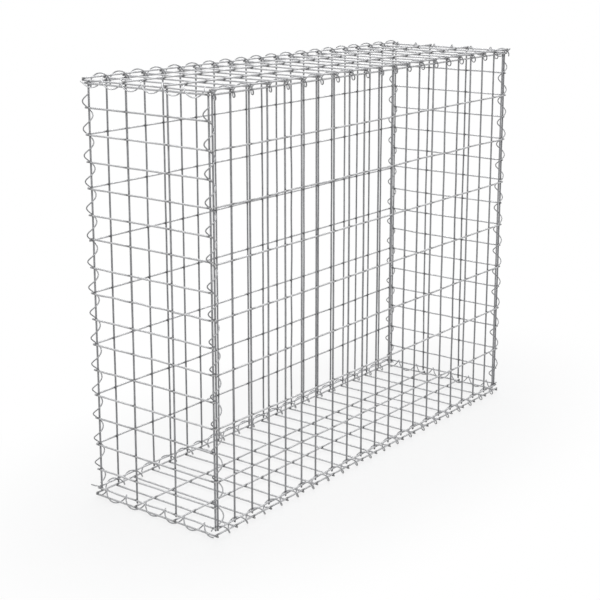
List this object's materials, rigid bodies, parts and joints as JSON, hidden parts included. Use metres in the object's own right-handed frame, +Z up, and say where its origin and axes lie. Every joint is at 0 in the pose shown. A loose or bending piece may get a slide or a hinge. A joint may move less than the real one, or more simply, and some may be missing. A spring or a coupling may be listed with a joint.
{
  "type": "gabion basket",
  "caption": "Empty closed gabion basket of welded wire mesh panels, laced along every edge by wire spirals, to be filled with stones as a wall.",
  "frame": {"origin": "on the ground, under the middle of the basket", "axes": "+X along the basket, +Y across it from the front long wall to the back one, +Z up"},
  "size_m": [1.0357, 0.3358, 0.82],
  "materials": {
    "mesh_wire": "galvanised, dull silver",
    "spiral_wire": "galvanised, brighter drawn wire"
  },
  "bodies": {
    "root": {"front_panel": "mesh_wire", "back_panel": "mesh_wire", "left_end_panel": "mesh_wire", "right_end_panel": "mesh_wire", "lid_panel": "mesh_wire", "base_panel": "mesh_wire", "front_left_spiral": "spiral_wire", "front_right_spiral": "spiral_wire", "back_left_spiral": "spiral_wire", "back_right_spiral": "spiral_wire", "front_lid_spiral": "spiral_wire", "back_lid_spiral": "spiral_wire", "left_lid_spiral": "spiral_wire", "right_lid_spiral": "spiral_wire", "front_base_spiral": "spiral_wire", "back_base_spiral": "spiral_wire", "left_base_spiral": "spiral_wire", "right_base_spiral": "spiral_wire"}
  },
  "joints": []
}
